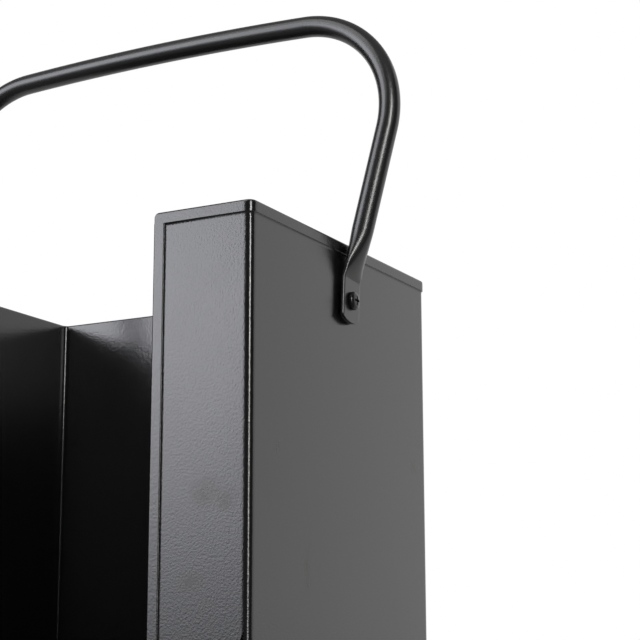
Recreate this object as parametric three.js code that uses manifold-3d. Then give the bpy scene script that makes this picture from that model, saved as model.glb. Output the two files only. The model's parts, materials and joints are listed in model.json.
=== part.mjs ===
// Kindling box for the hearth: a tall box of folded sheet steel, open at the top and at the front
// above a low sill, with a bail handle of bent tube that swings on two screws through the side walls.
// Millimetres. +Z is up, the open front faces -Y, and the origin is on the hearth under the centre.

import * as THREE from 'three';
import { mergeVertices } from 'three/addons/utils/BufferGeometryUtils.js';
import Module from 'manifold-3d';

const wasm = await Module();
wasm.setup();

// ---- Driving dimensions ---------------------------------------------------------------------

const fit = 0.3; // gap between pieces that lie against each other

// Sheet-metal box
const bodyWidth = 260; // across the outer faces of the side walls
const bodyDepth = 200; // front face to back face
const rimHeight = 340; // hearth to the top of the rim
const sheet = 0.8; // wall sheet
const bendRadius = 3; // outer radius of every upright bend
const hemWidth = 6; // width of the folded safety hem
const uprightWidth = 57; // inward flange on each side of the front mouth
const sillHeight = 124; // hearth to the top of the front panel
const rimCornerRadius = 3; // free top corner of each upright
const rimSetback = 0.5; // the rim hem stops this far short of the upright's folded edge
const hemGap = 0.4; // between the rim hem's raw edge and the end of an upright's hem
const reliefWidth = 4; // bend relief at the foot of each upright
const reliefHeight = 7;

// Front panel
const returnDepth = 15; // side return behind each front corner
const tongueHeight = 12; // weld tongue behind each upright
const tongueMargin = 8; // tongue edge to the upright's edge

// Base pan
const panSheet = 1;
const floorRise = 10; // lower edge of the walls to the top of the floor
const panFlange = 9; // depth of the down-turned flanges, over the floor
const panNotch = 6; // square notch at each corner of the pan

// Feet and their rivets
const footReach = 4; // feet stand this far below the walls
const footInset = 28; // outer wall faces to the foot's centre
const footTopDiameter = 22;
const footBaseDiameter = 19;
const footRecessDiameter = 11;
const footRecessDepth = 6;
const rivetDiameter = 4;
const rivetHeadDiameter = 8;
const rivetHeadHeight = 1.4;
const rivetTailDiameter = 6.4;
const rivetTailHeight = 2.6;

// Pivot hardware
const pivotDrop = 32; // rim to the pivot axis
const screwDiameter = 5;
const screwHeadDiameter = 10;
const screwHeadHeight = 2.8;
const screwTip = 1; // thread showing past the nut
const crossWidth = 1.2;
const crossReach = 2.6;
const crossDepth = 1.3;
const spacerDiameter = 12;
const washerDiameter = 10;
const washerThickness = 1;
const nutFlats = 8;
const nutHeight = 3.4;
const nutCollarHeight = 1.3;

// Bail handle
const tubeDiameter = 12;
const tubeWall = 1;
const tabThickness = 2.2; // both tube walls pressed together
const tabWidth = 19;
const tabReach = 12; // pivot axis to the end of the tab
const tabEndRadius = 20;
const tabCornerRadius = 2;
const kinkHeight = 11.5; // pivot axis to where the leg turns outward
const handleBendRadius = 58; // to the tube's centreline
const crownRise = 138; // rim to the centreline at the middle of the crown
const crownRadius = 2000; // slight arch of the crown
const hemClearance = 0.8; // between the rim hem and the back of the tab
const rimClearance = 0.4; // between the rim hem and the round tube
const handleLean = THREE.MathUtils.degToRad(4.2); // the handle stands leaning back

// ---- Sizes that follow ----------------------------------------------------------------------

const halfWidth = bodyWidth / 2;
const halfDepth = bodyDepth / 2;
const frontFace = -halfDepth;
const wallFoot = footReach;
const wallInside = halfWidth - sheet;
const mouthHalfWidth = halfWidth - uprightWidth;
const floorTop = wallFoot + floorRise;
const floorUnderside = floorTop - panSheet;
const pivotHeight = rimHeight - pivotDrop;
const boreDiameter = screwDiameter + 2 * fit;
const rivetBore = rivetDiameter + 2 * fit;

// ---- Finishes -------------------------------------------------------------------------------

const paintedSteel = { color: 0x2e2f32, roughness: 0.46, metalness: 0.25 };
const paintedTube = { color: 0x2a2a2c, roughness: 0.4, metalness: 0.25 };
const blackScrew = { color: 0x131314, roughness: 0.32, metalness: 0.6 };
const zincSteel = { color: 0x9a9a98, roughness: 0.38, metalness: 0.9 };
const blackNylon = { color: 0x1b1b1c, roughness: 0.6, metalness: 0 };
const footRubber = { color: 0x1a1a1a, roughness: 0.85, metalness: 0 };

// ---- Solid helpers --------------------------------------------------------------------------

// A closed three.js geometry as a solid that can be joined and cut.
function solid(geometry) {
  const bare = geometry.clone();
  bare.deleteAttribute('normal');
  bare.deleteAttribute('uv');
  const merged = mergeVertices(bare, 1e-4);
  const corners = merged.index.array;
  const triangles = [];
  for (let i = 0; i < corners.length; i += 3) {
    const [a, b, c] = corners.slice(i, i + 3);
    if (a !== b && b !== c && c !== a) triangles.push(a, b, c);
  }
  return new wasm.Manifold(new wasm.Mesh({
    numProp: 3,
    vertProperties: Float32Array.from(merged.attributes.position.array),
    triVerts: Uint32Array.from(triangles),
  }));
}

// A solid's surface as a geometry with flat-shaded faces.
function surface(body) {
  const mesh = body.getMesh();
  const indexed = new THREE.BufferGeometry();
  indexed.setAttribute('position', new THREE.BufferAttribute(mesh.vertProperties, 3));
  indexed.setIndex(new THREE.BufferAttribute(mesh.triVerts, 1));
  const flat = indexed.toNonIndexed();
  flat.computeVertexNormals();
  return flat;
}

function indexedGeometry(positions, index) {
  const geometry = new THREE.BufferGeometry();
  geometry.setAttribute('position', new THREE.Float32BufferAttribute(positions, 3));
  geometry.setIndex(index);
  return geometry;
}

function cut(body, ...tools) {
  return tools.reduce((rest, tool) => rest.subtract(tool), body);
}

function join(body, ...others) {
  return others.reduce((sum, other) => sum.add(other), body);
}

// A block between two values on each axis.
function block([x0, x1], [y0, y1], [z0, z1]) {
  const box = new THREE.BoxGeometry(x1 - x0, y1 - y0, z1 - z0);
  return solid(box.translate((x0 + x1) / 2, (y0 + y1) / 2, (z0 + z1) / 2));
}

// An upright round rod.
function uprightRod(diameter, z0, z1, x, y, sides = 24) {
  const rod = new THREE.CylinderGeometry(diameter / 2, diameter / 2, z1 - z0, sides);
  return solid(rod.rotateX(Math.PI / 2).translate(x, y, (z0 + z1) / 2));
}

// A round rod along X.
function crossRod(diameter, x0, x1, y, z, sides = 32) {
  const rod = new THREE.CylinderGeometry(diameter / 2, diameter / 2, x1 - x0, sides);
  return solid(rod.rotateZ(Math.PI / 2).translate((x0 + x1) / 2, y, z));
}

// A flat outline drawn in the XZ plane, made a prism between two depths y0 and y1.
function frontPrism(outline, y0, y1) {
  const prism = new THREE.ExtrudeGeometry(outline, { depth: y1 - y0, bevelEnabled: false });
  return solid(prism.rotateX(Math.PI / 2).translate(0, y1, 0));
}

// ---- Folded sheet ---------------------------------------------------------------------------

// Stations along the outer face of a folded sheet seen from above. The corners run anticlockwise,
// each inner corner is a bend of bendRadius, and each station holds a point and its outward normal.
function foldStations(corners, radius, bendSteps = 6) {
  const stations = [];
  const last = corners.length - 1;
  const outward = (from, to) => {
    const run = to.clone().sub(from).normalize();
    return new THREE.Vector2(run.y, -run.x);
  };
  stations.push({ point: corners[0], normal: outward(corners[0], corners[1]) });
  for (let i = 1; i < last; i++) {
    const before = outward(corners[i - 1], corners[i]);
    const after = outward(corners[i], corners[i + 1]);
    const turn = before.angleTo(after);
    const reach = radius / Math.cos(turn / 2);
    const inward = before.clone().add(after).normalize().multiplyScalar(-reach);
    const centre = corners[i].clone().add(inward);
    for (let step = 0; step <= bendSteps; step++) {
      const normal = before.clone().rotateAround(new THREE.Vector2(), (turn * step) / bendSteps);
      stations.push({ point: centre.clone().addScaledVector(normal, radius), normal });
    }
  }
  stations.push({ point: corners[last], normal: outward(corners[last - 1], corners[last]) });
  return stations;
}

// A section, as points (outward offset, height) in clockwise order, carried along the stations.
function foldedSheet(corners, radius, section) {
  const stations = foldStations(corners, radius);
  const size = section.length;
  const positions = [];
  for (const { point, normal } of stations) {
    for (const [offset, height] of section) {
      positions.push(point.x + normal.x * offset, point.y + normal.y * offset, height);
    }
  }
  const index = [];
  for (let ring = 0; ring < stations.length - 1; ring++) {
    for (let i = 0; i < size; i++) {
      const a = ring * size + i;
      const b = ring * size + ((i + 1) % size);
      index.push(a, b, b + size, a, b + size, a + size);
    }
  }
  const outline = section.map(([offset, height]) => new THREE.Vector2(offset, height));
  const end = (stations.length - 1) * size;
  for (const [a, b, c] of THREE.ShapeUtils.triangulateShape(outline, [])) {
    index.push(a, b, c, end + a, end + c, end + b);
  }
  return solid(indexedGeometry(positions, index));
}

// Plain sheet section between two heights.
function plainSection(thickness, low, high) {
  return [[0, low], [-thickness, low], [-thickness, high], [0, high]];
}

// Sheet section whose top edge is folded over outwards into a closed hem.
function hemmedSection(thickness, low, high, width, foldSteps = 6) {
  const section = [[0, low], [-thickness, low]];
  for (let step = 0; step <= foldSteps; step++) {
    const angle = Math.PI - (Math.PI * step) / foldSteps;
    section.push([thickness * Math.cos(angle), high - thickness + thickness * Math.sin(angle)]);
  }
  section.push([thickness, high - width], [0, high - width]);
  return section;
}

const corner = (x, y) => new THREE.Vector2(x, y);

// ---- Box body: one sheet that makes the uprights, the side walls and the back ----------------

function bodyWrap() {
  const edge = mouthHalfWidth + rimSetback;
  const walls = foldedSheet(
    [
      corner(edge, frontFace),
      corner(halfWidth, frontFace),
      corner(halfWidth, halfDepth),
      corner(-halfWidth, halfDepth),
      corner(-halfWidth, frontFace),
      corner(-edge, frontFace),
    ],
    bendRadius,
    hemmedSection(sheet, wallFoot, rimHeight, hemWidth),
  );
  const belowUprights = block(
    [-halfWidth - 1, halfWidth + 1],
    [frontFace - 2 * sheet, frontFace + bendRadius],
    [wallFoot - 1, sillHeight],
  );
  const pivotBore = crossRod(boreDiameter, -halfWidth - 2 * sheet, halfWidth + 2 * sheet, 0, pivotHeight);
  const sides = [1, -1];
  return cut(
    join(cut(walls, belowUprights), ...sides.map(uprightHem)),
    ...sides.map(rimCornerRounding),
    ...sides.map(bendRelief),
    pivotBore,
  );
}

// The hem on an upright's free edge: the sheet turned back on its front face under the rim hem.
function uprightHem(side) {
  const outline = new THREE.Shape();
  outline.moveTo(hemWidth, -sheet);
  outline.lineTo(sheet, -sheet);
  outline.absarc(sheet, 0, sheet, -Math.PI / 2, -1.5 * Math.PI, true);
  outline.lineTo(2 * sheet, sheet);
  outline.lineTo(2 * sheet, sheet / 2);
  outline.lineTo(hemWidth, sheet / 2);
  outline.closePath();
  const height = rimHeight - hemWidth - hemGap - sillHeight;
  const strip = new THREE.ExtrudeGeometry(outline, {
    depth: height,
    bevelEnabled: false,
    curveSegments: 6,
  });
  const hem = solid(strip.translate(mouthHalfWidth, frontFace, sillHeight));
  return side > 0 ? hem : hem.mirror([1, 0, 0]);
}

// What the rounded top corner of an upright leaves off the rim hem.
function rimCornerRounding(side) {
  const edge = mouthHalfWidth + rimSetback;
  const outline = new THREE.Shape();
  outline.moveTo(edge - 1, rimHeight + 1);
  outline.lineTo(edge - 1, rimHeight - rimCornerRadius);
  outline.lineTo(edge, rimHeight - rimCornerRadius);
  outline.absarc(
    edge + rimCornerRadius,
    rimHeight - rimCornerRadius,
    rimCornerRadius,
    Math.PI,
    Math.PI / 2,
    true,
  );
  outline.lineTo(edge + rimCornerRadius, rimHeight + 1);
  outline.closePath();
  const tool = frontPrism(outline, frontFace - 2 * sheet, frontFace + 2 * sheet);
  return side > 0 ? tool : tool.mirror([1, 0, 0]);
}

// The tapered cut beside the bend at the foot of an upright, where the flange ends.
function bendRelief(side) {
  const bendLine = halfWidth - bendRadius;
  const outline = new THREE.Shape();
  outline.moveTo(bendLine, sillHeight + reliefHeight);
  outline.lineTo(bendLine - reliefWidth, sillHeight - 1);
  outline.lineTo(bendLine, sillHeight - 1);
  outline.closePath();
  const tool = frontPrism(outline, frontFace - sheet, frontFace + 2 * sheet);
  return side > 0 ? tool : tool.mirror([1, 0, 0]);
}

// ---- Front panel: the low sill, with returns inside the side walls and weld tongues -----------

function frontPanel() {
  const outer = wallInside - fit;
  const top = sillHeight - fit;
  const panel = foldedSheet(
    [
      corner(-outer, frontFace + returnDepth),
      corner(-outer, frontFace),
      corner(outer, frontFace),
      corner(outer, frontFace + returnDepth),
    ],
    bendRadius,
    plainSection(sheet, wallFoot, top),
  );
  const hemEnd = mouthHalfWidth - fit;
  const hem = foldedSheet(
    [corner(-hemEnd, frontFace), corner(hemEnd, frontFace)],
    bendRadius,
    hemmedSection(sheet, top - 2 * hemWidth, top + fit, hemWidth),
  );
  const abovePan = block(
    [-halfWidth, halfWidth],
    [frontFace + bendRadius, frontFace + returnDepth + 1],
    [wallFoot - 1, floorTop + fit],
  );
  return cut(join(panel, hem, ...[1, -1].map(weldTongue)), abovePan);
}

// The tongue steps back behind the upright, where the two sheets are spot-welded together.
function weldTongue(side) {
  const inner = side * (mouthHalfWidth + tongueMargin);
  const outer = side * (halfWidth - bendRadius - tongueMargin);
  const across = [Math.min(inner, outer), Math.max(inner, outer)];
  const behind = frontFace + sheet + fit;
  const root = sillHeight - fit - 4 * sheet;
  const step = block(across, [frontFace + sheet / 2, behind + sheet], [root, root + 2 * sheet]);
  const tongue = block(across, [behind, behind + sheet], [root, sillHeight + tongueHeight]);
  return step.add(tongue);
}

// ---- Base pan: the floor, with four flanges turned down inside the walls ----------------------

function basePan() {
  const panHalfWidth = wallInside - fit;
  const panFront = halfDepth - sheet - fit;
  const channel = (halfSpan, length) => foldedSheet(
    [
      corner(-halfSpan, panFlange),
      corner(-halfSpan, 0),
      corner(halfSpan, 0),
      corner(halfSpan, panFlange),
    ],
    2 * panSheet,
    plainSection(panSheet, -length / 2, length / 2),
  );
  // The channels are drawn with their web on y = 0 and turned so that the web is the floor.
  const acrossWidth = channel(panHalfWidth, 2 * (panFront - panNotch)).rotate([-90, 0, 0]);
  const alongDepth = channel(panFront, 2 * (panHalfWidth - panNotch)).rotate([-90, 0, 90]);
  const pan = acrossWidth.add(alongDepth).translate([0, 0, floorTop]);
  const bores = footPlaces().map(([x, y]) => uprightRod(rivetBore, floorTop - 5, floorTop + 5, x, y));
  return cut(pan, ...bores);
}

function footPlaces() {
  const x = halfWidth - footInset;
  const y = halfDepth - footInset;
  return [[-x, -y], [x, -y], [-x, y], [x, y]];
}

// ---- Feet and rivets --------------------------------------------------------------------------

// A profile of (radius, height) points turned about Z.
function turned(profile, sides = 24) {
  return new THREE.LatheGeometry(profile.map(([r, z]) => corner(r, z)), sides).rotateX(Math.PI / 2);
}

function rubberFoot() {
  const top = floorUnderside - fit;
  const recessRoof = footRecessDepth;
  const lip = 0.8;
  return turned([
    [rivetBore / 2, recessRoof],
    [footRecessDiameter / 2, recessRoof],
    [footRecessDiameter / 2, 0],
    [footBaseDiameter / 2 - lip, 0],
    [footBaseDiameter / 2, lip],
    [footTopDiameter / 2, top - lip],
    [footTopDiameter / 2 - lip / 2, top],
    [rivetBore / 2, top],
    [rivetBore / 2, recessRoof],
  ]);
}

function footRivet() {
  const seat = footRecessDepth - fit;
  const tail = floorTop + fit;
  return turned([
    [0, seat - rivetHeadHeight],
    [rivetHeadDiameter / 4, seat - rivetHeadHeight],
    [rivetHeadDiameter / 2 - 0.5, seat - rivetHeadHeight / 2],
    [rivetHeadDiameter / 2, seat],
    [rivetDiameter / 2, seat],
    [rivetDiameter / 2, tail],
    [rivetTailDiameter / 2 - 0.4, tail],
    [rivetTailDiameter / 2, tail + rivetTailHeight / 3],
    [rivetTailDiameter / 2 - 0.8, tail + (2 * rivetTailHeight) / 3],
    [rivetDiameter / 4, tail + rivetTailHeight],
    [0, tail + rivetTailHeight],
  ], 16);
}

// ---- Pivot hardware, laid out outward from the side wall --------------------------------------
// Each piece is turned about Z, with z as the distance outward from the wall's outer face.

const spacerThickness = sheet + hemClearance - 2 * fit;
const tabBack = spacerThickness + 2 * fit;
const tabFront = tabBack + tabThickness;
const headSeat = tabFront + fit;
const washerOuter = -sheet - fit;
const nutOuter = washerOuter - washerThickness - fit;
const nutInner = nutOuter - nutHeight - nutCollarHeight;

function ringProfile(outerDiameter, low, high, edge) {
  return [
    [boreDiameter / 2, low],
    [outerDiameter / 2 - edge, low],
    [outerDiameter / 2, low + edge],
    [outerDiameter / 2, high - edge],
    [outerDiameter / 2 - edge, high],
    [boreDiameter / 2, high],
    [boreDiameter / 2, low],
  ];
}

function spacerWasher() {
  return turned(ringProfile(spacerDiameter, fit, fit + spacerThickness, spacerThickness / 8));
}

function innerWasher() {
  return turned(ringProfile(washerDiameter, washerOuter - washerThickness, washerOuter, washerThickness / 8));
}

function pivotScrew() {
  const chamfer = screwDiameter / 10;
  const tip = nutInner - screwTip;
  const crown = headSeat + screwHeadHeight;
  const radius = screwHeadDiameter / 2;
  const head = solid(turned([
    [0, tip],
    [screwDiameter / 2 - chamfer, tip],
    [screwDiameter / 2, tip + chamfer],
    [screwDiameter / 2, headSeat],
    [radius, headSeat],
    [radius, headSeat + screwHeadHeight * 0.45],
    [radius * 0.94, headSeat + screwHeadHeight * 0.72],
    [radius * 0.78, headSeat + screwHeadHeight * 0.9],
    [radius * 0.45, crown],
    [0, crown],
  ]));
  const half = crossWidth / 2;
  const floor = crown - crossDepth;
  const slots = [
    block([-crossReach, crossReach], [-half, half], [floor, crown + 1]),
    block([-half, half], [-crossReach, crossReach], [floor, crown + 1]),
  ];
  return surface(cut(head, ...slots));
}

function lockNut() {
  const acrossCorners = nutFlats / Math.cos(Math.PI / 6);
  const hex = new THREE.CylinderGeometry(acrossCorners / 2, acrossCorners / 2, nutHeight, 6);
  const prism = solid(hex.rotateX(Math.PI / 2).translate(0, 0, nutOuter - nutHeight / 2));
  const collar = uprightRod(nutFlats * 0.88, nutInner, nutOuter - nutHeight / 2, 0, 0);
  const bore = uprightRod(boreDiameter, nutInner - 1, nutOuter + 1, 0, 0);
  return surface(cut(prism.add(collar), bore));
}

// ---- Bail handle ------------------------------------------------------------------------------
// Drawn in its own plane: x across, z up from the pivot axis, y through the handle. Each station
// of the tube holds its centre, its in-plane normal, and half its thickness and half its width.

const tabCentre = halfWidth + (tabBack + tabFront) / 2;
const tubeRadius = tubeDiameter / 2;

// The leg leans outward just enough for the round tube to pass the rim hem by rimClearance.
function legSplay() {
  const rise = pivotDrop - kinkHeight;
  const outset = halfWidth + sheet + rimClearance - tabCentre;
  return Math.asin(tubeRadius / Math.hypot(rise, outset)) + Math.atan2(outset, rise);
}

function handleStations() {
  const splay = legSplay();
  const along = corner(Math.sin(splay), Math.cos(splay));
  const outward = corner(Math.cos(splay), -Math.sin(splay));
  const kink = corner(tabCentre, kinkHeight);
  const crownHeight = pivotDrop + crownRise;
  const archCentre = corner(0, crownHeight - crownRadius);

  // Centre of the bend: handleBendRadius inside the leg's line, and tangent to the crown's arch.
  const start = kink.clone().addScaledVector(outward, -handleBendRadius).sub(archCentre);
  const projection = start.dot(along);
  const reach = crownRadius - handleBendRadius;
  const legLength = Math.sqrt(projection ** 2 - start.lengthSq() + reach ** 2) - projection;
  const bendCentre = start.addScaledVector(along, legLength).add(archCentre);

  const stations = [];
  const add = (point, normal, thickness, width) => stations.push({ point, normal, thickness, width });

  for (const height of [-tabReach - 0.5, 0, kinkHeight - tabThickness]) {
    add(corner(tabCentre, height), corner(1, 0), tabThickness, tabWidth);
  }
  const mitre = corner(1, 0).add(outward).normalize();
  add(kink, mitre, tabThickness, tabWidth);

  // From flat tab to round tube, complete where the leg passes the rim.
  const flare = (pivotDrop - kinkHeight) / Math.cos(splay);
  const flareSteps = 6;
  for (let step = 1; step <= flareSteps; step++) {
    const share = step / flareSteps;
    const ease = share ** 1.15;
    add(
      kink.clone().addScaledVector(along, flare * share),
      outward,
      THREE.MathUtils.lerp(tabThickness, tubeDiameter, ease),
      THREE.MathUtils.lerp(tabWidth, tubeDiameter, THREE.MathUtils.smoothstep(share, 0, 1)),
    );
  }

  const bendStart = outward.angle();
  const bendEnd = bendCentre.clone().sub(archCentre).angle();
  const fullTurn = 2 * Math.PI;
  const turn = (bendEnd - bendStart + fullTurn) % fullTurn;
  const bendSteps = 15;
  for (let step = 0; step <= bendSteps; step++) {
    const normal = outward.clone().rotateAround(corner(0, 0), (turn * step) / bendSteps);
    const point = bendCentre.clone().addScaledVector(normal, handleBendRadius);
    add(point, normal, tubeDiameter, tubeDiameter);
  }

  const crownSteps = 3;
  for (let step = 1; step <= crownSteps; step++) {
    const angle = bendEnd + ((Math.PI / 2 - bendEnd) * step) / crownSteps;
    const normal = corner(Math.cos(angle), Math.sin(angle));
    add(archCentre.clone().addScaledVector(normal, crownRadius), normal, tubeDiameter, tubeDiameter);
  }

  const mirrored = stations.slice(0, -1).reverse().map((station) => ({
    ...station,
    point: corner(-station.point.x, station.point.y),
    normal: corner(-station.normal.x, station.normal.y),
  }));
  return [...stations, ...mirrored];
}

// Outline of a pressed tube: two half rounds joined by flats, given as (in-plane, through) offsets.
function pressedOutline(thickness, width, points) {
  const outline = [];
  const halfStep = Math.PI / points;
  for (let i = 0; i < points; i++) {
    const angle = (2 * i + 1) * halfStep;
    const flat = Math.sign(Math.sin(angle)) * (width - thickness) / 2;
    const radius = thickness / 2 / Math.cos(halfStep);
    outline.push([radius * Math.cos(angle), flat + radius * Math.sin(angle)]);
  }
  return outline;
}

function bailHandle() {
  const points = 20;
  const stations = handleStations();
  const positions = [];
  for (const inset of [0, tubeWall]) {
    for (const { point, normal, thickness, width } of stations) {
      for (const [u, v] of pressedOutline(thickness - 2 * inset, width - 2 * inset, points)) {
        positions.push(point.x + normal.x * u, v, point.y + normal.y * u);
      }
    }
  }
  const rings = stations.length;
  const inner = rings * points;
  const end = (rings - 1) * points;
  const index = [];
  for (let i = 0; i < points; i++) {
    const next = (i + 1) % points;
    for (let ring = 0; ring < rings - 1; ring++) {
      const a = ring * points + i;
      const b = ring * points + next;
      index.push(a, b, b + points, a, b + points, a + points);
      index.push(inner + a, inner + b + points, inner + b);
      index.push(inner + a, inner + a + points, inner + b + points);
    }
    index.push(i, inner + i, inner + next, i, inner + next, next);
    index.push(end + i, end + next, end + inner + next, end + i, end + inner + next, end + inner + i);
  }

  const reachOut = halfWidth + 2 * tubeDiameter;
  const bore = crossRod(boreDiameter, -reachOut, reachOut, 0, 0);
  return surface(cut(solid(indexedGeometry(positions, index)), bore, tabEndTool()));
}

// What the rounded ends of both tabs leave off.
function tabEndTool() {
  const half = tabWidth / 2;
  const arcCentre = tabEndRadius - tabReach;
  const innerRadius = tabEndRadius - tabCornerRadius;
  const innerHalf = half - tabCornerRadius;
  const cornerHeight = arcCentre - Math.sqrt(innerRadius ** 2 - innerHalf ** 2);
  const sweep = Math.asin(innerHalf / innerRadius);
  const outline = new THREE.Shape();
  outline.moveTo(-half - 1, -tabReach - 2);
  outline.lineTo(half + 1, -tabReach - 2);
  outline.lineTo(half + 1, cornerHeight);
  outline.lineTo(half, cornerHeight);
  outline.absarc(innerHalf, cornerHeight, tabCornerRadius, 0, sweep - Math.PI / 2, true);
  outline.absarc(0, arcCentre, tabEndRadius, sweep - Math.PI / 2, -sweep - Math.PI / 2, true);
  outline.absarc(-innerHalf, cornerHeight, tabCornerRadius, -sweep - Math.PI / 2, -Math.PI, true);
  outline.lineTo(-half - 1, cornerHeight);
  outline.closePath();
  const width = 2 * (halfWidth + 2 * tubeDiameter);
  const prism = new THREE.ExtrudeGeometry(outline, { depth: width, bevelEnabled: false, curveSegments: 6 });
  return solid(prism.translate(0, 0, -width / 2).rotateX(Math.PI / 2).rotateZ(Math.PI / 2));
}

// ---- Assembly ---------------------------------------------------------------------------------

const kindlingBox = new THREE.Group();

function piece(parent, name, geometry, finish) {
  const mesh = new THREE.Mesh(geometry, new THREE.MeshStandardMaterial(finish));
  mesh.name = name;
  parent.add(mesh);
  return mesh;
}

piece(kindlingBox, 'body_wrap', surface(bodyWrap()), paintedSteel);
piece(kindlingBox, 'front_panel', surface(frontPanel()), paintedSteel);
piece(kindlingBox, 'base_pan', surface(basePan()), paintedSteel);

const footNames = ['front_left', 'front_right', 'back_left', 'back_right'];
footPlaces().forEach(([x, y], i) => {
  piece(kindlingBox, `foot_${footNames[i]}`, rubberFoot(), footRubber).position.set(x, y, 0);
  piece(kindlingBox, `foot_rivet_${footNames[i]}`, footRivet(), zincSteel).position.set(x, y, 0);
});

for (const [name, side] of [['left', -1], ['right', 1]]) {
  const pivot = new THREE.Group();
  pivot.position.set(side * halfWidth, 0, pivotHeight);
  pivot.rotation.y = (side * Math.PI) / 2;
  piece(pivot, `pivot_screw_${name}`, pivotScrew(), blackScrew);
  piece(pivot, `spacer_washer_${name}`, spacerWasher(), blackNylon);
  piece(pivot, `inner_washer_${name}`, innerWasher(), zincSteel);
  piece(pivot, `lock_nut_${name}`, lockNut(), zincSteel);
  kindlingBox.add(pivot);
}

const bail = new THREE.Group();
bail.position.set(0, 0, pivotHeight);
bail.rotation.x = -handleLean;
piece(bail, 'bail_handle', bailHandle(), paintedTube);
kindlingBox.add(bail);

export default kindlingBox;
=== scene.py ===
import json
import math

import bpy
import numpy as np
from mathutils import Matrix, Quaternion, Vector


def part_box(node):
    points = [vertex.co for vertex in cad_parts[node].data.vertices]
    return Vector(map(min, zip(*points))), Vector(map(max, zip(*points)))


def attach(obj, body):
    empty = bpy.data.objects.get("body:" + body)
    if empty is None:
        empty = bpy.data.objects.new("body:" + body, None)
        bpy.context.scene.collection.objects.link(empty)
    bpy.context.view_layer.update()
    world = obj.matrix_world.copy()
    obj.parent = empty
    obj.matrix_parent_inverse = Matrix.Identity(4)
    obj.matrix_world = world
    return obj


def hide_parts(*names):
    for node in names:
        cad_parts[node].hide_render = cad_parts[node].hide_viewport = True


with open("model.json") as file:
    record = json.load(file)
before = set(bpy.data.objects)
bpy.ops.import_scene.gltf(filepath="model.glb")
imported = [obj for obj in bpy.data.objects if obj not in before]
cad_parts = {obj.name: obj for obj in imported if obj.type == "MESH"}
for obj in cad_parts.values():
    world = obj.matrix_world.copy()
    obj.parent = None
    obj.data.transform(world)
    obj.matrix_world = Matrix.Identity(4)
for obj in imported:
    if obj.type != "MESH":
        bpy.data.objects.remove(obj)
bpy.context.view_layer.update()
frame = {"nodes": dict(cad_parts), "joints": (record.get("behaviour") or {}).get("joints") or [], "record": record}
mm = 0.001

# ---- Body sheet ------------------------------------------------------------------------------
# One steel sheet folded into both front uprights, the side walls and the back. Its rim is turned
# over outwards into a closed safety hem, and so is the free edge of each upright. The corners
# are press-brake bends, and the whole box is powder coated satin black after it is welded.

wall_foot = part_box("body_wrap")[0].z
wrap_right, wrap_back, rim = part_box("body_wrap")[1]
sheet = 0.8 * mm
half_width = wrap_right - sheet
half_depth = wrap_back - sheet
bend_radius = 3 * mm
hem_width = 6 * mm
fold_reach = 1.3 * mm
fillet_height = 0.6 * mm
fillet_reach = 1.7 * mm
upright_width = 57 * mm
mouth = half_width - upright_width
rim_setback = 0.5 * mm
rim_corner = 3 * mm
raw_edge_round = 0.15 * mm
sill_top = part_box("front_panel")[1].z - 12 * mm
relief_width = 4 * mm
relief_height = 7 * mm
pivot = Vector(frame["joints"][0]["pos_m"])
pivot_bore = 5.6 * mm


def arc(centre, radius, start, end, steps):
    """Points on a circle: centre plus radius times (cos, sin), at even steps in degrees."""
    angle = np.radians(np.linspace(start, end, steps + 1))
    return np.asarray(centre) + radius * np.stack([np.cos(angle), np.sin(angle)], axis=1)


def folded_path(corners, radius, steps=24):
    """A polyline with each inner corner folded softly, and the unit normal at every point.

    The path runs anticlockwise seen from above, so the normal is its direction turned right by 90
    degrees. In a bend the direction has turned by the whole turn times (s - sin(2 pi s) / (2 pi)),
    s being the share of the bend's length, as sheet folded in a press does: the curvature grows
    from nothing to one over the radius and fades again. The points sum up the direction, and the
    bend starts so far before the corner that it ends on the next run.
    """
    corners = np.asarray(corners, float)
    runs = np.diff(corners, axis=0)
    runs /= np.linalg.norm(runs, axis=1)[:, None]
    points, directions = [corners[:1]], [runs[:1]]
    for corner, before, after in zip(corners[1:-1], runs[:-1], runs[1:]):
        turn = math.atan2(before[0] * after[1] - before[1] * after[0], before @ after)
        share = np.linspace(0, 1, steps + 1)[:, None]
        angle = turn * (share - np.sin(2 * np.pi * share) / (2 * np.pi))
        direction = before * np.cos(angle) + np.array([-before[1], before[0]]) * np.sin(angle)
        step = 2 * abs(turn) * radius / steps
        halfway = (direction[1:] + direction[:-1]) / 2
        way = np.concatenate([[[0, 0]], np.cumsum(halfway, axis=0)]) * step
        setback = np.linalg.norm(way[-1]) / (2 * math.cos(turn / 2))
        points.append(corner - before * setback + way)
        directions.append(direction)
    points.append(corners[-1:])
    directions.append(runs[-1:])
    direction = np.concatenate(directions)
    return np.concatenate(points), np.stack([direction[:, 1], -direction[:, 0]], axis=1)


def skin(rings, size):
    """The faces of a closed skin over rings of that many vertices, with one face at either end."""
    ring, spot = np.meshgrid(np.arange(rings - 1), np.arange(size), indexing="ij")
    following = (spot + 1) % size
    below, above = ring * size, (ring + 1) * size
    quads = np.stack([below + spot, below + following, above + following, above + spot], axis=-1)
    ends = [np.arange(size)[::-1].tolist(), ((rings - 1) * size + np.arange(size)).tolist()]
    return quads.reshape(-1, 4).tolist() + ends


def carried(section, path):
    """A closed section of (outward offset, height) carried along a folded path.

    Vertex (i, j) is path point i plus its normal times offset j, at height j.
    """
    points, normals = path
    rings, size = len(points), len(section)
    plan = points[:, None, :] + normals[:, None, :] * section[None, :, :1]
    height = np.broadcast_to(section[None, :, 1:], (rings, size, 1))
    return np.concatenate([plan, height], axis=2).reshape(-1, 3), skin(rings, size)


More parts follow.
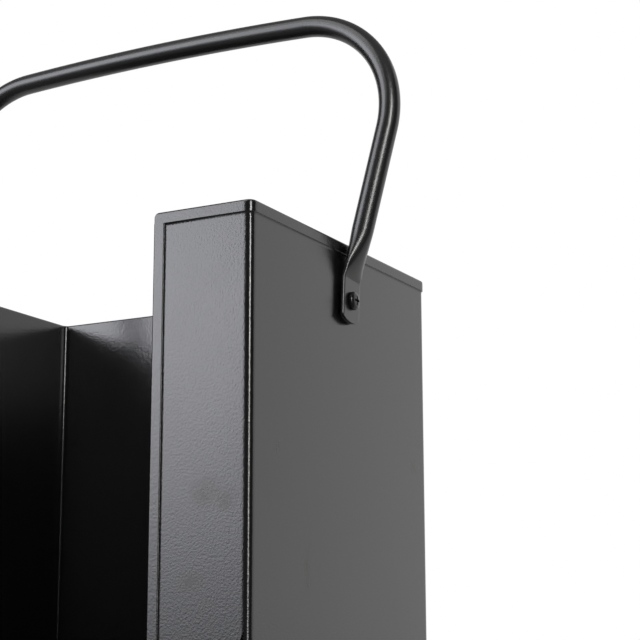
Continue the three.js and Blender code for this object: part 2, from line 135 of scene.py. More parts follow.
def prism(outline, low, high, axis):
    """A flat outline of two coordinates, carried from low to high along the third one."""
    flat = np.insert(np.asarray(outline, float), axis, 0, axis=1)
    ends = np.repeat(flat[None], 2, axis=0)
    ends[0, :, axis] = low
    ends[1, :, axis] = high
    return ends.reshape(-1, 3), skin(2, len(outline))


def block(x, y, z):
    """A block between two values on each axis."""
    return prism([[x[0], y[0]], [x[1], y[0]], [x[1], y[1]], [x[0], y[1]]], z[0], z[1], 2)


def rod(diameter, low, high, axis, centre, sides):
    """A round rod: the prism of a circle about centre."""
    circle = arc(centre, diameter / 2, 0, 360, sides)[:-1]
    return prism(circle, low, high, axis)


def mirrored(shape):
    """The same shape on the other side of the YZ plane."""
    vertices, faces = shape
    return vertices * [-1, 1, 1], [face[::-1] for face in faces]


def new_mesh(name, shape):
    """A mesh object of the shape's vertices and faces, with its faces turned outwards."""
    mesh = bpy.data.meshes.new(name)
    mesh.from_pydata(shape[0].tolist(), [], shape[1])
    mesh.validate()
    mesh.update()
    signed = sum(mesh.vertices[p.vertices[0]].co.dot(p.normal) * p.area for p in mesh.polygons)
    if signed < 0:
        mesh.flip_normals()
    piece = bpy.data.objects.new(name, mesh)
    bpy.context.scene.collection.objects.link(piece)
    return piece


def apply_modifiers(piece):
    """Puts the modifiers' result into the piece's own mesh."""
    shown = piece.evaluated_get(bpy.context.evaluated_depsgraph_get())
    result = bpy.data.meshes.new_from_object(shown)
    old = piece.data
    piece.modifiers.clear()
    piece.data = result
    result.name = piece.name
    bpy.data.meshes.remove(old)


def combine(piece, shapes, operation):
    """Joins the shapes to the piece, or cuts them from it, one after another."""
    for number, shape in enumerate(shapes):
        tool = new_mesh(f"{piece.name}_tool_{number}", shape)
        step = piece.modifiers.new("combine", "BOOLEAN")
        step.operation = operation
        step.solver = "EXACT"
        step.object = tool
        apply_modifiers(piece)
        bpy.data.objects.remove(tool)


def finish_surface(piece, edge_round, sharp_above=35):
    """Rounds the cut edges a little, and shades smooth bends without bending the flats' shading."""
    piece.data.polygons.foreach_set("use_smooth", np.ones(len(piece.data.polygons), bool))
    if edge_round:
        bevel = piece.modifiers.new("edge round", "BEVEL")
        bevel.width = edge_round
        bevel.segments = 2
        bevel.limit_method = "ANGLE"
        bevel.angle_limit = math.radians(50)
        apply_modifiers(piece)
    piece.data.set_sharp_from_angle(angle=math.radians(sharp_above))
    weigh = piece.modifiers.new("weighted normals", "WEIGHTED_NORMAL")
    weigh.keep_sharp = True
    weigh.weight = 80
    apply_modifiers(piece)


def dress(piece, material, slot, body, *nodes):
    """Gives the piece its finish, attaches it to the body it moves with, and hides the solids it stands for."""
    piece.data.materials.clear()
    piece.data.materials.append(material)
    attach(piece, body)
    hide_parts(*nodes)


def hem_fillet(steps=8):
    """How the coat fills the corner under a hem's raw edge.

    Pairs of (outward, distance from the raw edge) on a quarter of an ellipse, from edge to wall.
    """
    angle = np.radians(np.linspace(90, 0, steps + 1))
    outward, away = fillet_height * (1 - np.cos(angle)), fillet_reach * (1 - np.sin(angle))
    return np.stack([outward, away], axis=1)


def hemmed_section(low, high, fold_steps=12):
    """The sheet from its raw lower edge over the fold to the hem's edge, with the coat's fillet."""
    r = raw_edge_round
    return np.concatenate([
        arc((-sheet + r, low + r), r, 270, 180, 3),
        [0, high - fold_reach] + arc((0, 0), 1, 180, 0, fold_steps) * [sheet, fold_reach],
        arc((sheet - r, high - hem_width + r), r, 0, -90, 3),
        [0, high - hem_width] + hem_fillet() * [1, -1],
        arc((-r, low + r), r, 0, -90, 3),
    ])


def upright_hem():
    """The hem on the right upright's free edge, seen from above, from fold to raw edge."""
    r = raw_edge_round
    face = -half_depth
    outline = np.concatenate([
        [mouth + fold_reach, face] + arc((0, 0), 1, 270, 90, 12) * [fold_reach, sheet],
        [[mouth + 2 * sheet, face + sheet], [mouth + 2 * sheet, face + sheet / 2]],
        [[mouth + hem_width + fillet_reach, face + sheet / 2]],
        [mouth + hem_width, face] + hem_fillet()[::-1, ::-1] * [1, -1],
        arc((mouth + hem_width - r, face - sheet + r), r, 0, -90, 3),
    ])
    return prism(outline, sill_top, rim - hem_width + sheet / 2, 2)


def rim_corner_waste():
    """What the rounded free corner of the right upright leaves off the rim hem."""
    edge = mouth + rim_setback
    rounding = arc((edge + rim_corner, rim - rim_corner), rim_corner, 180, 90, 10)
    outline = np.concatenate([
        [[edge - mm, rim + mm], [edge - mm, rim - rim_corner]],
        rounding,
        [[edge + rim_corner, rim + mm]],
    ])
    return prism(outline, -half_depth - 2 * sheet, -half_depth + 2 * sheet, 1)


def bend_relief():
    """The tapered cut beside the bend where the right upright's flange ends."""
    bend_line = half_width - bend_radius
    outline = [
        [bend_line, sill_top + relief_height],
        [bend_line - relief_width, sill_top - mm],
        [bend_line, sill_top - mm],
    ]
    return prism(outline, -half_depth - sheet, -half_depth + 2 * sheet, 1)


edge = mouth + rim_setback
wall_path = folded_path(
    [
        [edge, -half_depth],
        [half_width, -half_depth],
        [half_width, half_depth],
        [-half_width, half_depth],
        [-half_width, -half_depth],
        [-edge, -half_depth],
    ],
    bend_radius,
)
box_sheet = new_mesh("box_sheet", carried(hemmed_section(wall_foot, rim), wall_path))
front_cut = (-half_depth - 2 * sheet, -half_depth + bend_radius)
below_uprights = block((-1, 1), front_cut, (wall_foot - mm, sill_top))
combine(box_sheet, [below_uprights], "DIFFERENCE")
combine(box_sheet, [upright_hem(), mirrored(upright_hem())], "UNION")
bore = rod(pivot_bore, -1, 1, 0, (pivot.y, pivot.z), sides=48)
corner_waste = [rim_corner_waste(), mirrored(rim_corner_waste())]
combine(box_sheet, [*corner_waste, bend_relief(), mirrored(bend_relief()), bore], "DIFFERENCE")
finish_surface(box_sheet, 0)


class Paint:
    """A node material: every call adds one node, and sockets are linked where a node is given."""

    def __init__(self, name):
        self.material = bpy.data.materials.new(name)
        self.material.use_nodes = True
        self.tree = self.material.node_tree
        self.shader = self.tree.nodes["Principled BSDF"]
        self.place = self.tree.nodes.new("ShaderNodeTexCoord").outputs["Object"]

    def node(self, kind, settings=(), **inputs):
        made = self.tree.nodes.new(kind)
        for key, value in dict(settings).items():
            setattr(made, key, value)
        for key, value in inputs.items():
            self.set(made, key.replace("_", " "), value)
        return made

    def set(self, node, name, value):
        live = [socket for socket in node.inputs if socket.enabled]
        named = [socket for socket in live if socket.name.lower() == name.lower()]
        socket = named[0] if named else node.inputs[int(name)]
        if isinstance(value, bpy.types.NodeSocket):
            self.tree.links.new(value, socket)
        else:
            socket.default_value = value

    def noise(self, scale, detail, roughness=0.5):
        grain = dict(Scale=scale, Detail=detail, Roughness=roughness)
        return self.node("ShaderNodeTexNoise", Vector=self.place, **grain).outputs["Fac"]

    def math(self, operation, *values):
        inputs = {str(number): value for number, value in enumerate(values)}
        return self.node("ShaderNodeMath", {"operation": operation}, **inputs).outputs["Value"]

    def spread(self, value, low, high, to_low, to_high):
        ends = dict(From_Min=low, From_Max=high, To_Min=to_low, To_Max=to_high)
        return self.node("ShaderNodeMapRange", Value=value, **ends).outputs["Result"]

    def ramp(self, value, *stops):
        node = self.node("ShaderNodeValToRGB", Fac=value)
        for element, (position, colour) in zip(node.color_ramp.elements, stops):
            element.position = position
            element.color = (*colour, 1)
        return node.outputs["Color"]

    def bump(self, height, strength, distance):
        depth = dict(Strength=strength, Distance=distance)
        return self.node("ShaderNodeBump", Height=height, **depth).outputs["Normal"]

    def finish(self, **inputs):
        for key, value in inputs.items():
            self.set(self.shader, key.replace("_", " "), value)
        return self.material


def grey(value):
    """A neutral colour of that linear value."""
    return (value, value, value, 1)


def marks(paint, spots):
    """Soft-edged spots: 1 inside each ellipsoid (centre and half sizes in mm), 0 outside."""
    total = 0.0
    for centre, size in spots:
        scale = [1 / (length * mm) for length in size]
        shift = [-along * mm * factor for along, factor in zip(centre, scale)]
        terms = {"0": paint.place, "1": scale, "2": shift}
        local = paint.node("ShaderNodeVectorMath", {"operation": "MULTIPLY_ADD"}, **terms)
        away = {"0": local.outputs["Vector"]}
        length = paint.node("ShaderNodeVectorMath", {"operation": "LENGTH"}, **away)
        total = paint.math("MAXIMUM", paint.spread(length.outputs["Value"], 0.2, 1, 1, 0), total)
    return total


smudge_colour = (0.018, 0.013, 0.0095, 1)
smudge_dulling = 0.2
coarse_peel_share = 1.6
peel_strength = 0.4
peel_depth = 0.1 * mm
coat_ior = 1.55


def powder_coat(name, colour, roughness, peel=1.0, spots=()):
    """Satin powder coat: fine orange peel in the bump, cloudy sheen, and dull brown smudges."""
    paint = Paint(name)
    fine = paint.noise(1500, 2, 0.6)
    coarse = paint.noise(800, 1)
    clouds = paint.noise(14, 4, 0.6)
    wipes = paint.noise(90, 5, 0.6)
    smudge = paint.math("MULTIPLY", paint.spread(wipes, 0.35, 0.65, 0.3, 1), marks(paint, spots))
    height = paint.math("MULTIPLY_ADD", coarse, coarse_peel_share, fine)
    blend = {"0": smudge, "6": colour, "7": smudge_colour}
    tint = paint.node("ShaderNodeMix", {"data_type": "RGBA"}, **blend)
    sheen = paint.spread(clouds, 0.3, 0.7, roughness - 0.02, roughness + 0.03)
    dull = paint.math("MULTIPLY_ADD", smudge, smudge_dulling, sheen)
    bump = paint.bump(height, peel_strength * peel, peel_depth)
    return paint.finish(Base_Color=tint.outputs[2], Roughness=dull, Normal=bump, IOR=coat_ior)


flange_y, side_x = half_depth / mm, half_width / mm
handling_marks = [
    ((106.0, -flange_y, 197.0), (12, 4, 10)),
    ((116.0, -flange_y, 194.0), (9, 4, 8)),
    ((98.1, -flange_y, 154.4), (10, 4, 6)),
    ((side_x, -43.2, 166.3), (4, 6, 24)),
    ((side_x, -73.8, 220.6), (4, 6, 7)),
    ((side_x, 81.6, 229.0), (4, 7, 7)),
]
box_black = (0.0065, 0.0065, 0.0068, 1)
box_paint = powder_coat("box powder coat", box_black, 0.16, spots=handling_marks)
dress(box_sheet, box_paint, "black_paint", "body", "body_wrap")

# ---- Front panel -----------------------------------------------------------------------------
# The low sill across the front, a second sheet welded behind the uprights by two tongues. Its
# returns lie inside the side walls, and its top edge is hemmed outwards across the mouth.

clearance = 0.3 * mm
return_depth = 15 * mm
tongue_height = 12 * mm
tongue_margin = 8 * mm
pan_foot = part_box("base_pan")[0].z
pan_right, pan_back, floor_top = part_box("base_pan")[1]
panel_half = half_width - sheet - clearance
panel_top = sill_top - clearance


def plain_section(low, high, thickness):
    """The sheet between two heights, with both raw edges slightly rounded."""
    r = raw_edge_round
    return np.concatenate([
        arc((-thickness + r, low + r), r, 270, 180, 3),
        arc((-thickness + r, high - r), r, 180, 90, 3),
        arc((-r, high - r), r, 90, 0, 3),
        arc((-r, low + r), r, 0, -90, 3),
    ])


def weld_tongue():
    """The right tongue: a step back from the panel, then a tab behind the upright."""
    x = (mouth + tongue_margin, half_width - bend_radius - tongue_margin)
    behind = -half_depth + sheet + clearance
    root = panel_top - 4 * sheet
    step = block(x, (-half_depth + sheet / 2, behind + sheet), (root, root + 2 * sheet))
    return [step, block(x, (behind, behind + sheet), (root, sill_top + tongue_height))]


panel_path = folded_path(
    [
        [-panel_half, -half_depth + return_depth],
        [-panel_half, -half_depth],
        [panel_half, -half_depth],
        [panel_half, -half_depth + return_depth],
    ],
    bend_radius,
)
sill_panel = new_mesh("sill_panel", carried(plain_section(wall_foot, panel_top, sheet), panel_path))
hem_end = mouth - clearance
hem_path = folded_path([[-hem_end, -half_depth], [hem_end, -half_depth]], bend_radius)
sill_hem = carried(hemmed_section(panel_top - 2 * hem_width, sill_top), hem_path)
tongues = [shape for tongue in weld_tongue() for shape in (tongue, mirrored(tongue))]
combine(sill_panel, [sill_hem, *tongues], "UNION")
above_pan = block((-1, 1), (-half_depth + bend_radius, 0), (wall_foot - mm, floor_top + clearance))
combine(sill_panel, [above_pan], "DIFFERENCE")
finish_surface(sill_panel, 0)
dress(sill_panel, box_paint, "black_paint", "body", "front_panel")

# ---- Base pan --------------------------------------------------------------------------------
# The floor of the box: a steel pan with its four edges turned down inside the walls, notched at
# the corners so that they fold, and drilled for the four feet.

pan_sheet = 1 * mm
pan_notch = 6 * mm
pan_bend = 2 * mm
rivet_bore = 4.6 * mm
foot_family = [name for name in frame["nodes"] if name.startswith("foot_")]
foot_nodes = [name for name in foot_family if "rivet" not in name]
foot_spots = {name: (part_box(name)[0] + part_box(name)[1]) / 2 for name in foot_nodes}


def channel(half_span, half_length, along):
    """A folded channel: a flat top and two sides turned down, running along one axis."""
    right = [[half_span, pan_foot], [half_span, floor_top]]
    left = [[-half_span, floor_top], [-half_span, pan_foot]]
    across = folded_path(right + left, pan_bend, steps=8)
    vertices, faces = carried(plain_section(-half_length, half_length, pan_sheet), across)
    order = [2, 0, 1] if along == 0 else [0, 2, 1]
    return vertices[:, order], faces


floor_pan = new_mesh("floor_pan", channel(pan_right, pan_back - pan_notch, along=1))
combine(floor_pan, [channel(pan_back, pan_right - pan_notch, along=0)], "UNION")
bore_reach = floor_top + mm
bores = [rod(rivet_bore, 0, bore_reach, 2, spot.xy, sides=32) for spot in foot_spots.values()]
combine(floor_pan, bores, "DIFFERENCE")
finish_surface(floor_pan, 0)
dress(floor_pan, box_paint, "black_paint", "body", "base_pan")

# ---- Feet ------------------------------------------------------------------------------------
# Four moulded rubber feet, slightly tapered, each with a recess from below where the head of an
# aluminium-grey rivet holds it to the floor of the box.

merge_distance = 1e-6

def turned(profile, centre, sides=64):
    """A profile of (radius, height) turned about the upright axis through centre.

    Vertex (i, j) lies at angle i, at radius j and height j. A profile that ends on the axis closes
    there, and any other closes on itself.
    """
    profile = np.asarray(profile, float)
    angle = np.linspace(0, 2 * np.pi, sides, endpoint=False)
    turn = np.stack([np.cos(angle), np.sin(angle)], axis=1)
    plan = turn[:, None, :] * profile[None, :, :1]
    height = np.broadcast_to(profile[None, :, 1:], (sides, len(profile), 1))
    vertices = np.concatenate([plan, height], axis=2).reshape(-1, 3) + np.asarray(centre)
    size = len(profile)
    side, spot = np.meshgrid(np.arange(sides), np.arange(size), indexing="ij")
    here, beyond, following = side * size, (side + 1) % sides * size, (spot + 1) % size
    quads = np.stack([here + spot, beyond + spot, beyond + following, here + following], axis=-1)
    if profile[0, 0] == 0:
        quads = quads[:, :-1]
    return vertices, quads.reshape(-1, 4).tolist()


def merge_axis(piece):
    """Merges the vertices that meet on the axis, and drops the faces that had no width there."""
    weld = piece.modifiers.new("weld", "WELD")
    weld.merge_threshold = merge_distance
    apply_modifiers(piece)


def rubber(name):
    """Matte moulded rubber: fine grain, a dusty bloom in patches."""
    paint = Paint(name)
    grain = paint.noise(1800, 3)
    bloom = paint.noise(120, 4)
    colour = paint.ramp(bloom, (0.35, (0.016, 0.016, 0.016)), (0.75, (0.034, 0.033, 0.031)))
    rough = paint.spread(bloom, 0.3, 0.7, 0.72, 0.9)
    return paint.finish(Base_Color=colour, Roughness=rough, Normal=paint.bump(grain, 0.4, 0.00005))


foot_rubber = rubber("foot rubber")
foot_taper = 1.5 * mm
lip = 0.8 * mm
recess_radius = 5.5 * mm
recess_depth = 6 * mm
recess_chamfer = 0.3 * mm
for name, spot in foot_spots.items():
    low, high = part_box(name)
    top = high.z
    radius = (high.x - low.x) / 2
    base = radius - foot_taper
    outline = np.concatenate([
        [[rivet_bore / 2, recess_depth], [recess_radius, recess_depth]],
        [[recess_radius, recess_chamfer], [recess_radius + recess_chamfer, 0]],
        arc((base - lip, lip), lip, 270, 360, 6),
        arc((radius - lip, top - lip), lip, 0, 90, 6),
        [[rivet_bore / 2, top]],
    ])
    foot = new_mesh(f"rubber_{name}", turned(outline, (spot.x, spot.y, 0)))
    finish_surface(foot, 0)
    dress(foot, foot_rubber, "foot_rubber", "body", name)

# ---- Bail handle -----------------------------------------------------------------------------
# One length of 12 mm tube, bent to a bail with a slightly arched crown. Both ends are pressed
# flat, drilled and trimmed round, and the legs lean outwards from the tabs to clear the rim hem.

tube_radius = 6 * mm
tab_half_thickness = 1.1 * mm
tab_half_width = 9.5 * mm
tab_reach = 12 * mm
tab_end_radius = 20 * mm
tab_corner = 2 * mm
tab_edge_round = 0.25 * mm
kink_height = 11.5 * mm
kink_radius = 5 * mm
tube_bend = 58 * mm
crown_radius = 2.0
crown_height = 170 * mm
rim_clearance = 0.4 * mm
flare_above_rim = 8 * mm
flare_steps = 36
circle_speed = 3
circle_ease = 0.6
swelling_power = 1.5
handle_lean = math.radians(4.2)
pivot_drop = rim - pivot.z
spacer = 0.8 * mm
tab_centre = half_width + sheet + spacer + tab_half_thickness


def leg_splay():
    """The leg's outward lean, at which the round tube passes the rim hem by its clearance."""
    rise = pivot_drop - kink_height
    outset = half_width + sheet + rim_clearance - tab_centre
    return math.asin(tube_radius / math.hypot(rise, outset)) + math.atan2(outset, rise)


def handle_line():
    """The tube's centreline from the right tab's end to the crown's middle.

    Returns points (across, up), the in-plane outward normals, and how far each point is along the
    flare, 0 on the pressed tab and 1 on the round tube. Straight runs are joined by arcs: a small
    one at the kink, the bend, and the arched crown.
    """
    splay = leg_splay()
    along = np.array([math.sin(splay), math.cos(splay)])
    out = np.array([math.cos(splay), -math.sin(splay)])
    kink = np.array([tab_centre, kink_height])
    ease = kink_radius * math.tan(splay / 2)
    turn = np.linspace(0, splay, 7)[:, None]
    kink_out = np.concatenate([np.cos(turn), -np.sin(turn)], axis=1)
    kink_points = kink + [kink_radius, -ease] - kink_radius * kink_out

    crown_centre = np.array([0, crown_height - crown_radius])
    start = kink - out * tube_bend - crown_centre
    reach = start @ along
    length = math.sqrt(reach**2 - start @ start + (crown_radius - tube_bend) ** 2) - reach
    bend_centre = start + along * length + crown_centre
    leg_end = bend_centre + out * tube_bend
    leg_start = kink_points[-1]

    tab_points = np.linspace([tab_centre, -tab_reach - 0.5 * mm], kink_points[0], 12)[:-1]
    flare_end = kink + along * ((pivot_drop - kink_height) / math.cos(splay) + flare_above_rim)
    flare_points = np.linspace(leg_start, flare_end, flare_steps)[1:]
    leg_points = np.linspace(flare_end, leg_end, 16)[1:-1]

    low = -splay
    high = math.atan2(*(bend_centre - crown_centre)[::-1])
    bend_angle = np.linspace(low, high, 60)[:, None]
    bend_out = np.concatenate([np.cos(bend_angle), np.sin(bend_angle)], axis=1)
    crown_angle = np.linspace(high, math.pi / 2, 20)[1:, None]
    crown_out = np.concatenate([np.cos(crown_angle), np.sin(crown_angle)], axis=1)

    points = [tab_points, kink_points, flare_points, leg_points]
    points += [bend_centre + tube_bend * bend_out, crown_centre + crown_radius * crown_out]
    straight = [np.tile([1, 0], (len(tab_points), 1)), kink_out]
    straight += [np.tile(out, (len(flare_points) + len(leg_points), 1)), bend_out, crown_out]
    round_share = np.concatenate([
        np.zeros(len(tab_points) + len(kink_points)),
        np.linspace(0, 1, flare_steps)[1:],
        np.ones(len(leg_points) + len(bend_out) + len(crown_out)),
    ])
    return np.concatenate(points), np.concatenate(straight), round_share


def tube_outlines(share, columns=64):
    """Outline of the tube at each station, as (outward, fore-and-aft) offsets.

    The pressed end is a stadium, stepped evenly along its outline, and the free tube is a circle.
    Both are scaled to a half size of one, mixed, and then scaled to the half thickness and half
    width there. The circle's part is (circle_speed times share, at most 1) to the power of
    circle_ease. What the thickness still lacks is (1 - share) to the power of swelling_power, and
    the width follows a smooth step, share squared times (3 - 2 share).
    """
    flat = 2 * (tab_half_width - tab_half_thickness)
    half_round = math.pi * tab_half_thickness
    s = (np.arange(columns) + 0.5) / columns * (2 * flat + 2 * half_round)
    corner = [0, flat / 2, flat / 2 + half_round, 1.5 * flat + half_round]
    corner += [1.5 * flat + 2 * half_round, 2 * flat + 2 * half_round]
    on_front, on_back = (s < corner[1]), (s >= corner[4])
    far = (s >= corner[2]) & (s < corner[3])
    top = (s >= corner[1]) & (s < corner[2])
    angle = np.where(top, s - corner[1], s - corner[3]) / tab_half_thickness
    run = flat / 2
    u = np.select([on_front | on_back, far, top], [1.0, -1.0, np.cos(angle)], -np.cos(angle))
    v = np.select(
        [on_front, on_back, far, top],
        [s, s - corner[5], run - (s - corner[2]), run + tab_half_thickness * np.sin(angle)],
        -run - tab_half_thickness * np.sin(angle),
    ) / tab_half_width
    circle = 2 * np.pi * (np.arange(columns) + 0.5) / columns
    share = share[:, None]
    blend = np.clip(share * circle_speed, 0, 1) ** circle_ease
    unit_u = u * (1 - blend) + np.cos(circle) * blend
    unit_v = v * (1 - blend) + np.sin(circle) * blend
    unit_u /= np.abs(unit_u).max(axis=1, keepdims=True)
    unit_v /= np.abs(unit_v).max(axis=1, keepdims=True)
    smooth = share * share * (3 - 2 * share)
    unswollen = (1 - share) ** swelling_power
    half_thickness = tube_radius - (tube_radius - tab_half_thickness) * unswollen
    half_width_here = tab_half_width + (tube_radius - tab_half_width) * smooth
    return unit_u * half_thickness, unit_v * half_width_here


def leaned(vertices):
    """Turns handle points (across, fore-and-aft, up from the pivot) back by the handle's lean."""
    across, aft, up = vertices.T
    cos, sin = math.cos(handle_lean), math.sin(handle_lean)
    turned_aft, turned_up = aft * cos + up * sin, up * cos - aft * sin
    return np.stack([across + pivot.x, turned_aft + pivot.y, turned_up + pivot.z], axis=1)


def bail_tube():
    """The tube's skin: every outline set square to the centreline, with both ends closed."""
    points, outward, share = handle_line()
    points = np.concatenate([points, points[-2::-1] * [-1, 1]])
    outward = np.concatenate([outward, outward[-2::-1] * [-1, 1]])
    share = np.concatenate([share, share[-2::-1]])
    u, v = tube_outlines(share)
    plane = points[:, None, :] + outward[:, None, :] * u[:, :, None]
    vertices = np.stack([plane[..., 0], v, plane[..., 1]], axis=2)
    return leaned(vertices.reshape(-1, 3)), skin(*v.shape)


def tab_waste():
    """What the round trim of both pressed ends leaves off, drawn fore-and-aft and up."""
    inner_radius = tab_end_radius - tab_corner
    inner_half = tab_half_width - tab_corner
    centre = tab_end_radius - tab_reach
    corner_height = centre - math.sqrt(inner_radius**2 - inner_half**2)
    sweep = math.degrees(math.asin(inner_half / inner_radius))
    side = tab_half_width + mm
    outline = np.concatenate([
        [[-side, -tab_reach - 2 * mm], [side, -tab_reach - 2 * mm], [side, corner_height]],
        arc((inner_half, corner_height), tab_corner, 0, sweep - 90, 8),
        arc((0, centre), tab_end_radius, sweep - 90, -sweep - 90, 24)[1:-1],
        arc((-inner_half, corner_height), tab_corner, -90 - sweep, -180, 8),
        [[-side, corner_height]],
    ])
    vertices, faces = prism(outline, -1, 1, 0)
    return leaned(vertices), faces


bail = new_mesh("bail_tube", bail_tube())
combine(bail, [tab_waste(), bore], "DIFFERENCE")
finish_surface(bail, tab_edge_round, sharp_above=50)
handle_paint = powder_coat("handle powder coat", grey(0.009), 0.26, peel=0.4)
dress(bail, handle_paint, "handle_paint", "handle", "bail_handle")

# ---- Pivot screws ----------------------------------------------------------------------------
# An M5 pan-head screw through each tab and wall, black, with a cross recess. The head is turned
# from a domed profile and the recess is cut into it.

head_radius = 5 * mm
head_height = 2.8 * mm
shank_radius = 2.5 * mm
recess_reach = 2.6 * mm
recess_width = 1.2 * mm
recess_floor = 1.3 * mm
hardware_edge_round = 0.08 * mm


def screw_profile(tip, seat, crown):
    """Radius and distance from the wall: chamfered tip, shank, flat seat and rounded pan head."""
    chamfer = 0.5 * mm
    seat_edge = 0.2 * mm
    side_share = 0.35
    dome_fullness = 0.55
    side = seat + side_share * (crown - seat)
    dome = np.radians(np.linspace(0, 90, 14))
    across, up = head_radius * np.cos(dome) ** dome_fullness, side + (crown - side) * np.sin(dome)
    return np.concatenate([
        [[0, tip], [shank_radius - chamfer, tip], [shank_radius, tip + chamfer]],
        [[shank_radius, seat], [head_radius - seat_edge, seat], [head_radius, seat + seat_edge]],
        [[head_radius, side]],
        np.stack([across, up], axis=1)[1:-1],
        [[0, crown]],
    ])


def sideways(shape, side):
    """Turns a shape from the upright axis to the pivot's axis, pointing out of that side's wall."""
    vertices, faces = shape
    x, y, z = vertices.T
    return np.stack([side * z, side * x + pivot.y, y + pivot.z], axis=1), faces


def black_oxide(name):
    """Black screw steel: slightly glossy, with fine turning marks and patches that vary in tone and gloss."""
    paint = Paint(name)
    grain = paint.noise(2500, 2)
    patch = paint.noise(420, 3)
    colour = paint.ramp(patch, (0.4, (0.006, 0.006, 0.0065)), (0.8, (0.020, 0.019, 0.018)))
    rough = paint.spread(patch, 0.3, 0.7, 0.16, 0.26)
    bump = paint.bump(grain, 0.2, 0.00003)
    return paint.finish(Base_Color=colour, Roughness=rough, Normal=bump, Metallic=0.3)


screw_black = black_oxide("black oxide")
for name, side in (("pivot_screw_left", -1), ("pivot_screw_right", 1)):
    low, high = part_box(name)
    crown = max(abs(low.x), abs(high.x))
    tip = min(abs(low.x), abs(high.x))
    seat = crown - head_height
    upright_screw = turned(screw_profile(tip, seat, crown), (0, 0, 0))
    screw = new_mesh(f"pan_{name}", sideways(upright_screw, side))
    merge_axis(screw)
    arm_length, arm_width = (-recess_reach, recess_reach), (-recess_width / 2, recess_width / 2)
    arm_depth = (crown - recess_floor, crown + mm)
    arms = [block(arm_length, arm_width, arm_depth), block(arm_width, arm_length, arm_depth)]
    combine(screw, [sideways(arm, side) for arm in arms], "DIFFERENCE")
    finish_surface(screw, hardware_edge_round)
    dress(screw, screw_black, "black_screw", "body", name)

# ---- Washers, nuts and rivets ----------------------------------------------------------------
# Bought-in hardware that keeps its frame solids: black nylon spacers between wall and tab, zinc
# plated washers and lock nuts inside, and the rivets of the feet. Only edges and finish are added.


def zinc_plate(name):
    """Bright zinc: pale grey metal with faint blue and straw patches and fine scuffs."""
    paint = Paint(name)
    patch = paint.noise(240, 4)
    scuff = paint.noise(2200, 3)
    colour = paint.ramp(patch, (0.3, (0.50, 0.52, 0.55)), (0.72, (0.62, 0.59, 0.52)))
    rough = paint.spread(scuff, 0.3, 0.7, 0.28, 0.46)
    bump = paint.bump(scuff, 0.15, 0.00003)
    return paint.finish(Base_Color=colour, Roughness=rough, Normal=bump, Metallic=1.0)


def nylon(name):
    """Black nylon: even and slightly waxy, with a faint moulded grain."""
    paint = Paint(name)
    grain = paint.noise(1500, 2)
    colour = paint.ramp(grain, (0, (0.013, 0.013, 0.013)), (1, (0.022, 0.022, 0.023)))
    rough = paint.spread(grain, 0.3, 0.7, 0.45, 0.58)
    return paint.finish(Base_Color=colour, Roughness=rough, Normal=paint.bump(grain, 0.15, 0.00003))


hardware_finish = {"zinc_steel": zinc_plate("zinc plate"), "black_nylon": nylon("black nylon")}
for part in frame["record"]["subparts"]:
    if part["material_slot"] in hardware_finish:
        piece = frame["nodes"][part["node"]]
        weld = piece.modifiers.new("weld", "WELD")
        weld.merge_threshold = merge_distance
        bevel = piece.modifiers.new("edge round", "BEVEL")
        bevel.width = hardware_edge_round
        bevel.segments = 2
        bevel.limit_method = "ANGLE"
        bevel.angle_limit = math.radians(40)
        bevel.harden_normals = True
        for slot in piece.material_slots:
            slot.material = hardware_finish[part["material_slot"]]

# ---- Floor, light and camera -----------------------------------------------------------------
# A plain pale floor under a white surround, and one soft key light. Around the box stand cards
# that only its reflections show: lit cloths on two sides, dark ones behind, above and below them.
# The camera is low in front of the right side and looks slightly up.

floor_span = (-8.0, 8.0)
floor = new_mesh("studio_floor", block(floor_span, floor_span, (-0.02, 0)))
floor_paint = Paint("pale floor")
floor_rough = floor_paint.spread(floor_paint.noise(3, 3), 0, 1, 0.75, 0.85)
pale = dict(Base_Color=(0.82, 0.82, 0.81, 1), Specular_IOR_Level=0)
floor.data.materials.append(floor_paint.finish(Roughness=floor_rough, **pale))

world = bpy.data.worlds.new("white surround")
bpy.context.scene.world = world
world.use_nodes = True
tree = world.node_tree
surround = tree.nodes["Background"]
surround.inputs["Color"].default_value = grey(1)
ray = tree.nodes.new("ShaderNodeLightPath")
seen = tree.nodes.new("ShaderNodeMath")
seen.operation = "MAXIMUM"
tree.links.new(ray.outputs["Is Camera Ray"], seen.inputs[0])
mirrored_ray = tree.nodes.new("ShaderNodeMath")
mirrored_ray.operation = "MAXIMUM"
tree.links.new(ray.outputs["Is Glossy Ray"], mirrored_ray.inputs[0])
tree.links.new(ray.outputs["Is Transmission Ray"], mirrored_ray.inputs[1])
tree.links.new(mirrored_ray.outputs["Value"], seen.inputs[1])
level = tree.nodes.new("ShaderNodeMapRange")
level.inputs["To Min"].default_value = 0.8  # what lights the box
level.inputs["To Max"].default_value = 1.0  # what the camera and reflections see
tree.links.new(seen.outputs["Value"], level.inputs["Value"])
tree.links.new(level.outputs["Result"], surround.inputs["Strength"])

stage_centre = (0, 0)
mid_height = 0.25
key_distance = 2.6
card_thickness_share = 0.01


def around(azimuth, elevation, distance):
    """A place round the box: azimuth in degrees from +X towards +Y, elevation above mid-height."""
    azimuth, elevation = math.radians(azimuth), math.radians(elevation)
    across, up = distance * math.cos(elevation), distance * math.sin(elevation)
    return Vector((across * math.cos(azimuth), across * math.sin(azimuth), up + mid_height))


